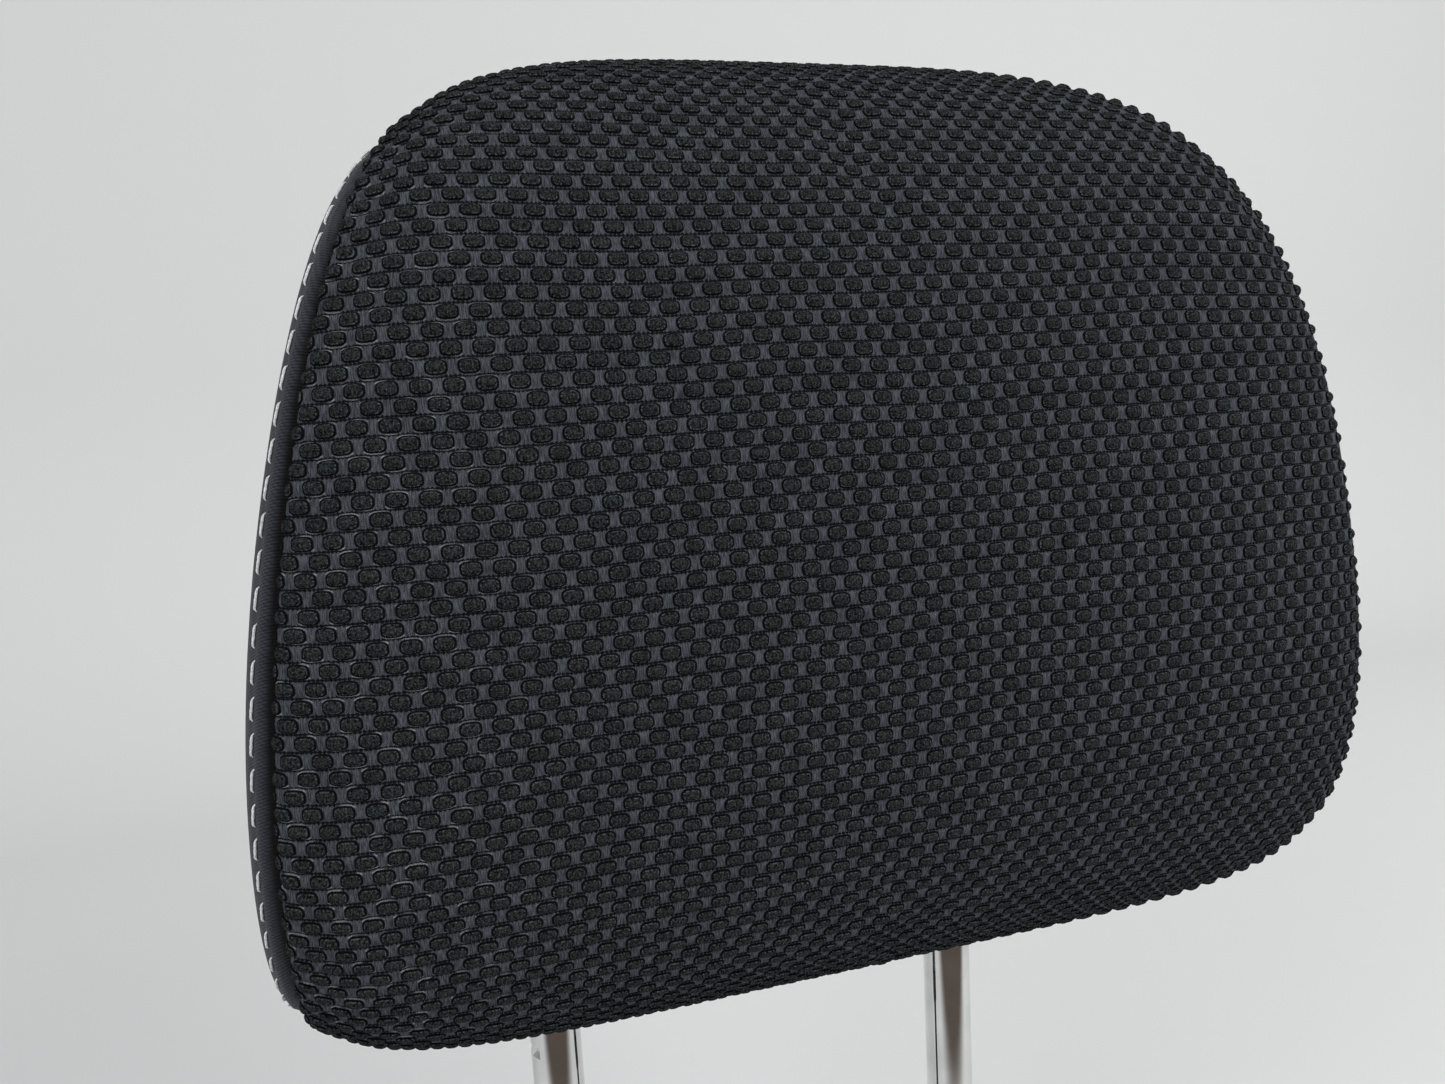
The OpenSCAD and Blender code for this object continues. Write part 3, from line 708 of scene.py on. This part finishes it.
def twill_material():
    mat, nt, shader = new_material("twill", (0.02, 0.022, 0.035), 0.8)
    g = Graph(nt)
    uv, a, b = g.uv()
    diag = g.math("ADD", g.math("MULTIPLY", a, 1.15), g.math("MULTIPLY", b, 1.9))
    wale = g.math("ABSOLUTE", g.math("SUBTRACT", g.math("FRACT", diag), 0.5))
    slant = g.math("MULTIPLY", g.math("SUBTRACT", a, g.math("MULTIPLY", b, 0.6)), 1.9)
    weft = g.math("ABSOLUTE", g.math("SUBTRACT", g.math("FRACT", slant), 0.5))
    fibre = g.noise(uv, 3.2, 3.0, 0.65)
    blotch = g.noise(uv, 0.09, 3.0)
    fine = g.math("ADD", g.math("MULTIPLY", weft, 0.7), g.math("MULTIPLY", fibre, 0.6))
    height = g.math("ADD", g.math("MULTIPLY", wale, 1.2), fine)
    colour = g.mix(g.ramp(height, 0.35, 1.25), (0.008, 0.009, 0.0135), (0.032, 0.036, 0.05))
    # painted shade: the twill is painted near black where it runs down into the seam valley
    colour = g.mix(g.ramp(g.seam(), 1.1, 0.3), colour, (0.0025, 0.0025, 0.004))
    level = g.node("HueSaturation")
    g.link(g.ramp(blotch, 0.3, 0.7, 0.9, 1.1), level.inputs["Value"])
    g.link(colour, level.inputs["Color"])
    g.link(level.outputs[0], shader.inputs["Base Color"])
    g.link(g.ramp(fibre, 0.3, 0.7, 0.7, 0.88), shader.inputs["Roughness"])
    g.link(g.bump(height, 0.12 * MM), shader.inputs["Normal"])
    shader.inputs["Sheen Weight"].default_value = 0.1
    shader.inputs["Specular IOR Level"].default_value = 0.3
    return mat


def thread_material():
    mat, nt, shader = new_material("thread", (0.6, 0.61, 0.63), 0.5)
    g = Graph(nt)
    coord = g.node("TexCoord").outputs["Object"]
    fibre = g.noise(coord, 5200, 2.0, 0.6)
    colour = g.mix(g.ramp(fibre, 0.3, 0.7), (0.36, 0.37, 0.4), (0.74, 0.75, 0.77))
    g.link(colour, shader.inputs["Base Color"])
    g.link(g.ramp(fibre, 0.3, 0.7, 0.42, 0.6), shader.inputs["Roughness"])
    g.link(g.bump(fibre, 0.06 * MM), shader.inputs["Normal"])
    shader.inputs["Sheen Weight"].default_value = 0.2
    return mat


def metal_material(name, base, rough, grain=0.06, streak=None):
    """Bare or plated metal with fine wear, drawn along one axis when streak is given."""
    mat, nt, shader = new_material(name, base, rough)
    g = Graph(nt)
    coord = g.node("TexCoord").outputs["Object"]
    wear = g.noise(g.stretch(coord, streak) if streak else coord, 900, 4.0, 0.7)
    cloud = g.noise(coord, 60, 3.0)
    scuffs = g.ramp(wear, 0.35, 0.75, rough * 0.8, rough * 1.5)
    haze = g.math("MULTIPLY", g.ramp(cloud, 0.45, 0.75), rough * 0.6)
    g.link(g.math("ADD", scuffs, haze), shader.inputs["Roughness"])
    dark = tuple(c * 0.82 for c in base)
    g.link(g.mix(g.ramp(cloud, 0.35, 0.7), dark, base), shader.inputs["Base Color"])
    g.link(g.bump(wear, grain * MM, 0.3), shader.inputs["Normal"])
    shader.inputs["Metallic"].default_value = 1.0
    return mat


def plastic_material(name, base, rough=0.5, grain=2600, depth=0.04):
    """Moulded plastic with a fine spark-eroded grain and slightly polished high spots."""
    mat, nt, shader = new_material(name, base, rough)
    g = Graph(nt)
    coord = g.node("TexCoord").outputs["Object"]
    skin = g.noise(coord, grain, 3.0, 0.6)
    cloud = g.noise(coord, 45, 3.0)
    matt = g.ramp(skin, 0.3, 0.7, rough * 0.85, rough * 1.15)
    haze = g.math("MULTIPLY", g.ramp(cloud, 0.4, 0.7), 0.06)
    g.link(g.math("ADD", matt, haze), shader.inputs["Roughness"])
    bright = tuple(min(1, c * 1.25 + 0.002) for c in base)
    g.link(g.mix(g.ramp(cloud, 0.3, 0.7), base, bright), shader.inputs["Base Color"])
    g.link(g.bump(skin, depth * MM, 0.6), shader.inputs["Normal"])
    return mat


# ================================================================ build
KNIT, TWILL, THREAD = knit_material(), twill_material(), thread_material()
CHROME = metal_material("chrome", (0.78, 0.775, 0.77), 0.045, 0.01)
SPRING = metal_material("spring_steel", (0.3, 0.31, 0.33), 0.3, 0.05, (1, 1, 0.05))
ZINC = metal_material("zinc_steel", (0.52, 0.53, 0.55), 0.28, 0.05)
TRIM = plastic_material("trim_plastic", (0.011, 0.011, 0.012), 0.48)
CORE = plastic_material("core_plastic", (0.03, 0.03, 0.032), 0.4, 1200)
BUSH = plastic_material("bush_plastic", (0.62, 0.62, 0.57), 0.35, 900, 0.02)
FOAM = plastic_material("foam", (0.6, 0.5, 0.28), 0.95, 700, 0.5)


def finish_piece(ob, material, slot, *replaced, padded=None):
    """Gives a new piece its material and its body, and hides the CAD nodes it stands for."""
    ob.data.materials.append(material)
    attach(ob, "pad")
    if replaced:
        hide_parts(*replaced)
    return ob


cuts = [0, int(ROWS * 0.26), int(ROWS * 0.5), int(ROWS * 0.75), ROWS]
for i, name in enumerate(("knit_under", "knit_low", "knit_high", "knit_top")):
    panel = knit_panel(name, cuts[i], cuts[i + 1])
    finish_piece(panel, KNIT, "knit", "cover_front", "foam_pad", padded=COVER_FILL)
finish_piece(back_panel(), TWILL, "twill", "cover_back", padded=COVER_FILL)
for side, word in ((-1, "left"), (1, "right")):
    panel, grid = side_panel(side)
    finish_piece(panel, TWILL, "twill", "cover_side_" + word, padded=COVER_FILL)
    finish_piece(stitches(side, grid), THREAD, "thread", "topstitch_" + word)

CAD_LOOKS = {
    "post_frame": CHROME, "tilt_bush_left": BUSH, "tilt_bush_right": BUSH, "stop_plate": SPRING,
    "guide_sleeve_left": TRIM, "guide_sleeve_right": TRIM, "release_button": TRIM, "lock_wire": SPRING,
    "post_bezel_left": TRIM, "post_bezel_right": TRIM, "closing_strip_front": TRIM,
    "closing_strip_rear": TRIM, "core_front": CORE, "core_rear": CORE, "core_screws": ZINC,
    "clip_screws": ZINC, "friction_clip_left": SPRING, "friction_clip_right": SPRING, "foam_pad": FOAM,
}
for name, material in CAD_LOOKS.items():
    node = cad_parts[name]
    node.data.materials.clear()
    node.data.materials.append(material)


# ================================================================ camera, stage and light
CAM_POS = Vector((-0.0805, -0.2631, 0.2307))
YAW, PITCH, ROLL = math.radians(16.25), math.radians(-8.14), math.radians(-3.19)
FOCAL = 27.03


def make_camera():
    cam = bpy.data.objects.new("camera", bpy.data.cameras.new("camera"))
    bpy.context.scene.collection.objects.link(cam)
    ahead = Vector((math.sin(YAW) * math.cos(PITCH), math.cos(YAW) * math.cos(PITCH), math.sin(PITCH)))
    right = Vector((math.cos(YAW), -math.sin(YAW), 0))
    up = right.cross(ahead)
    r = right * math.cos(ROLL) + up * math.sin(ROLL)
    u = up * math.cos(ROLL) - right * math.sin(ROLL)
    cam.matrix_world = Matrix.Translation(CAM_POS) @ Matrix((r, u, -ahead)).transposed().to_4x4()
    cam.data.lens = FOCAL
    cam.data.sensor_width = 36
    cam.data.clip_start = 0.01
    bpy.context.scene.camera = cam


def make_stage():
    """A pale floor that sweeps up into a plain wall; reflections see a dim, warm room in front."""
    floor_z = cad_box[0].z - 0.001
    mat, nt, shader = new_material("stage", (0.62, 0.63, 0.635), 0.9)
    g = Graph(nt)
    depth = g.node("SeparateXYZ")
    g.link(g.node("TexCoord").outputs["Object"], depth.inputs[0])
    glossy = g.node("LightPath").outputs["Is Glossy Ray"]
    room = g.math("MULTIPLY", glossy, g.ramp(depth.outputs[1], -0.09, -0.2))
    shade = g.node("Emission")
    shade.inputs["Color"].default_value = (0.12, 0.098, 0.085, 1)
    both = g.node("MixShader")
    g.link(room, both.inputs[0])
    g.link(shader.outputs[0], both.inputs[1])
    g.link(shade.outputs[0], both.inputs[2])
    g.link(both.outputs[0], nt.nodes["Material Output"].inputs[0])
    turn = 0.35
    wall_y = 0.95
    prof = [(-3.0, floor_z), (wall_y - turn, floor_z)]
    for a in np.radians(np.arange(6, 90, 6)):
        prof.append((wall_y - turn + turn * math.sin(a), floor_z + turn * (1 - math.cos(a))))
    prof += [(wall_y, floor_z + turn), (wall_y, 3.0)]
    xs = (-4.0, 4.0)
    co = np.array([(x, y, z) for y, z in prof for x in xs])
    ob = mesh_object("stage_floor", co, grid_faces(len(prof), 2))
    ob.data.materials.append(mat)


def area_light(name, where, size, power, colour=(1, 1, 1), at=(0, 0, 0.18)):
    light = bpy.data.lights.new(name, "AREA")
    light.shape = "RECTANGLE"
    light.size, light.size_y = size
    light.energy = power
    light.color = colour
    ob = bpy.data.objects.new(name, light)
    ob.location = where
    ob.rotation_euler = (Vector(at) - Vector(where)).to_track_quat("-Z", "Y").to_euler()
    bpy.context.scene.collection.objects.link(ob)
    return ob


def make_light():
    """Soft light from all round, dimmer from the front, with a key on the right and a fill."""
    world = bpy.data.worlds.new("world")
    bpy.context.scene.world = world
    world.use_nodes = True
    g = Graph(world.node_tree)
    background = world.node_tree.nodes["Background"]
    way = g.node("SeparateXYZ")
    g.link(g.node("TexCoord").outputs["Generated"], way.inputs[0])
    ahead = g.ramp(way.outputs[1], -0.74, -0.5)
    ahead = g.math("MAXIMUM", ahead, g.node("LightPath").outputs["Is Camera Ray"])
    g.link(g.math("ADD", g.math("MULTIPLY", ahead, 0.72), 0.13), background.inputs[1])
    g.link(g.mix(ahead, (1.0, 0.86, 0.76), (0.985, 1.0, 0.992)), background.inputs[0])
    area_light("key", (1.1, -1.1, 0.95), (1.2, 1.0), 27.5, (1.0, 1.0, 0.985), (0.4, 0.3, 0.4))
    area_light("fill", (-1.2, -0.8, 0.8), (1.0, 1.0), 11, (0.97, 0.985, 1.0))


make_camera()
make_stage()
make_light()
view = bpy.context.scene.view_settings
view.view_transform = "Standard"
view.look = "None"
view.exposure = 0.0
